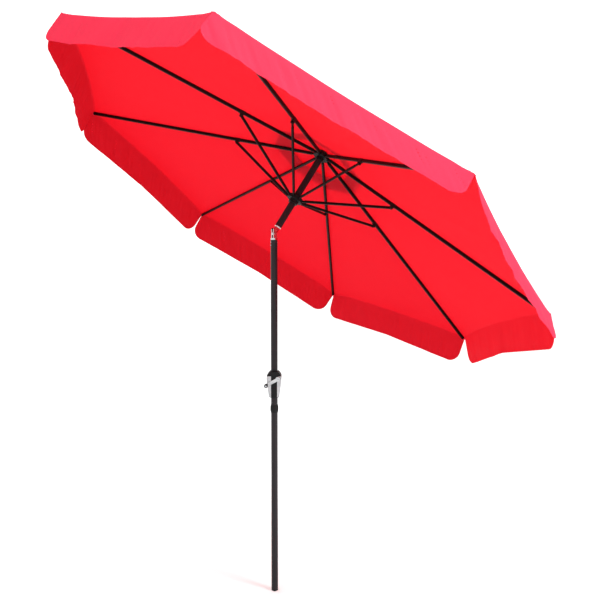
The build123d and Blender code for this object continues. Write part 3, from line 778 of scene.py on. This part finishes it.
def sew(name, lines, k, values):
    """A plain mesh of stitches along the lines, which are lists of points in rib k + 1's frame."""
    place = MAST @ Matrix.Rotation(STEP * k, 4, "Z")
    points, edges = [], []
    for line in lines:
        edges += [(len(points) + i, len(points) + i + 1) for i in range(len(line) - 1)]
        points += [place @ Vector(point) for point in line]
    guide = bpy.data.meshes.new(name + "_lines")
    guide.from_pydata(points, edges, [])
    made = bpy.data.objects.new(name, guide)
    bpy.context.scene.collection.objects.link(made)
    modifier = made.modifiers.new("stitching", "NODES")
    modifier.node_group = STITCHING
    for label, value in values.items():
        modifier[STITCH_INPUTS[label]] = value
    graph = bpy.context.evaluated_depsgraph_get()
    mesh = bpy.data.meshes.new_from_object(made.evaluated_get(graph))
    made.modifiers.remove(modifier)
    made.data = mesh
    bpy.data.meshes.remove(guide)
    return made


# %% [markdown]
# Each gore is sewn along both sides of its rib seam, along the hem where the flap joins, along the
# flap's turned edge, round its notch, along the vent, and round the cap. The lines are read off the
# same grids as the cloth, a column or a row in from the edge, so that every stitch lies in its hem.

# %% The canopy's stitches
STITCH = {"Pitch": 0.0062, "Stitch length": 0.0044, "Thread radius": 0.00085}
SEAM_LINE = 2
HEM_LINE = PANEL_ROWS - 1
FREE_LINE = TURNED_ROWS[0]
THREADS = []
for k in range(RIBS):
    lines = []
    for side in (1, -1):
        grid = GRIDS[k][side]
        lines += [grid[: HEM_LINE + 1, SEAM_LINE], grid[HEM_LINE, SEAM_LINE:], grid[0, SEAM_LINE:]]
        lines += [grid[HEM_LINE + 2 : FREE_LINE + 1, SEAM_LINE], grid[FREE_LINE, SEAM_LINE:]]
        lines.append(cap_grids[k][side][CAP_ROWS - 2, :])
    THREADS.append(sew(f"canopy_stitching_{k + 1}", lines, k, {**STITCH, "Seed": k}))
print(f"a gore's stitches have {len(THREADS[0].data.polygons)} faces")

# %% [markdown]
# At each corner the rib's moulded tip sits in a small sling of folded cloth, sewn to the underside of
# the seam. It is a half tube that closes like a sock at its outer end. A curve could be bevelled into
# one, but a sock's toe is easier as a grid whose rings shrink by a quarter circle.

# %% Corner slings
SLING_IN = 0.004
SLING_OUT = 0.017
SLING_HALF = 0.0098
SLING_DROP = 0.0208
SLING_SKIN = 0.0007
ACROSS = 21
ALONG = 12


def sling(k):
    tip = RIB_REACH
    top = LIFT - CLOTH
    points, faces = [], []
    for i in range(ALONG + 1):
        t = i / ALONG
        toe = max(0.0, t * 1.25 - 0.25)
        shrink = (1 - toe**4) ** 0.5 if i < ALONG else 0.12
        for j in range(ACROSS + 1):
            angle = pi * (j / ACROSS - 0.5)
            y = SLING_HALF * np.sign(sin(angle)) * abs(sin(angle)) ** 0.55 * (0.45 + 0.55 * shrink)
            z = top - SLING_DROP * cos(angle) ** 0.55 * shrink
            z += 0.0004 * ripple(t * 3, angle * 2, k, 8.0) * cos(angle)
            along = tip + SLING_IN + (SLING_OUT - SLING_IN) * t
            points.append(CROWN + RIB_DIRECTION * along + RIB_NORMAL * z + Vector((0, y, 0)))
    for i in range(ALONG):
        for j in range(ACROSS):
            a = i * (ACROSS + 1) + j
            faces.append((a, a + 1, a + ACROSS + 2, a + ACROSS + 1))
    place = MAST @ Matrix.Rotation(STEP * k, 4, "Z")
    mesh = bpy.data.meshes.new(f"corner_sling_{k + 1}")
    mesh.from_pydata([place @ point for point in points], [], faces)
    layer = mesh.uv_layers.new(name="cloth")
    for loop in mesh.loops:
        i, j = divmod(loop.vertex_index, ACROSS + 1)
        layer.data[loop.index].uv = (j / ACROSS * pi * SLING_DROP, i / ALONG * SLING_OUT)
    mesh.polygons.foreach_set("use_smooth", [True] * len(mesh.polygons))
    # The sling wears the outer side's finish, with its painted sheen.
    mesh.materials.append(CLOTH_OUTER_PAINTED_SHEEN)
    made = bpy.data.objects.new(mesh.name, mesh)
    bpy.context.scene.collection.objects.link(made)
    skin = made.modifiers.new("skin", "SOLIDIFY")
    skin.thickness = SLING_SKIN
    skin.offset = 0
    return made


SLINGS = [sling(k) for k in range(RIBS)]
print("made", len(SLINGS), "corner slings")

# %% [markdown]
# Now every piece gets its body, the rib that carries it, and the gore's own solid part is hidden. The
# cloth, the cap and the stitches get meshes of their own. As a rib droops its corner draws in, and
# the real cloth crumples to fit; a stiff copy like these can push through its neighbour.

# %% Bodies and sheets
for k in range(RIBS):
    rib, node, hinge = f"rib_{k + 1}", f"canopy_gore_{k + 1}", f"rib_hinge_{k + 1}"
    for piece in (GORES[k], CAPS[k], THREADS[k], SLINGS[k]):
        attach(piece, rib)
    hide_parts(node)
    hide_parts(node)
    for piece in (GORES[k], CAPS[k], THREADS[k]):
        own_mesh(piece)

# %% [markdown]
# The studio is a pale floor under a pale sky. A wide soft lamp high over the canopy shines through
# the cloth, which makes its underside glow, and a smaller one high at the camera's right lights the
# near flaps, whose pink is partly this light and partly the painted sheen in the outer side's colour.
# The sky fills in the rest, so that no shadow goes black.

# %% Floor and light
FLOOR_HALF = 40.0


def floor():
    finish = Finish("studio_floor")
    grain = finish.noise(finish.place(), 1.5)
    tone = finish.blend(grain, (0.85, 0.85, 0.85), (0.88, 0.88, 0.88))
    mesh = bpy.data.meshes.new("floor")
    corners = [(x * FLOOR_HALF, y * FLOOR_HALF, 0) for x, y in ((-1, -1), (1, -1), (1, 1), (-1, 1))]
    mesh.from_pydata(corners, [], [(0, 1, 2, 3)])
    mesh.materials.append(finish.done(finish.surface(Base_Color=tone, Roughness=0.9)))
    made = bpy.data.objects.new("floor", mesh)
    bpy.context.scene.collection.objects.link(made)


def lamp(name, place, aim, size, power):
    light = bpy.data.lights.new(name, "AREA")
    light.shape, light.size, light.energy = "DISK", size, power
    made = bpy.data.objects.new(name, light)
    made.location = place
    made.rotation_euler = (Vector(aim) - Vector(place)).to_track_quat("-Z", "Y").to_euler()
    bpy.context.scene.collection.objects.link(made)


floor()
lamp("top_lamp", (2.0, 0.4, 8.4), (0.1, 0, 2.5), 4.0, 430)
lamp("key_lamp", (3.15, -5.95, 4.2), (0.4, -0.8, 2.1), 2.5, 350)
world = bpy.data.worlds.new("studio")
world.use_nodes = True
world.node_tree.nodes["Background"].inputs["Color"].default_value = (1, 1, 1, 1)
world.node_tree.nodes["Background"].inputs["Strength"].default_value = 1.4
bpy.context.scene.world = world
bpy.context.scene.view_settings.view_transform = "Standard"
print("lit the studio")

# %% [markdown]
# The camera stands to the left of the lean and nearly level with the hinge, so the canopy's underside
# fills the view. It is placed at a given point, turned to its bearing, and aimed a little below level.

# %% Camera
CAMERA_AT = (-1.742, -3.650, 1.914)
CAMERA_TURN = radians(27.56)
CAMERA_DIP = radians(3.523)
FIELD = radians(45.0)
level = cos(CAMERA_DIP)
view = Vector((sin(CAMERA_TURN) * level, cos(CAMERA_TURN) * level, -sin(CAMERA_DIP)))
camera = bpy.data.objects.new("camera", bpy.data.cameras.new("camera"))
camera.data.angle = FIELD
camera.location = CAMERA_AT
camera.rotation_euler = view.to_track_quat("-Z", "Y").to_euler()
bpy.context.scene.collection.objects.link(camera)
bpy.context.scene.camera = camera
print("camera at", CAMERA_AT)
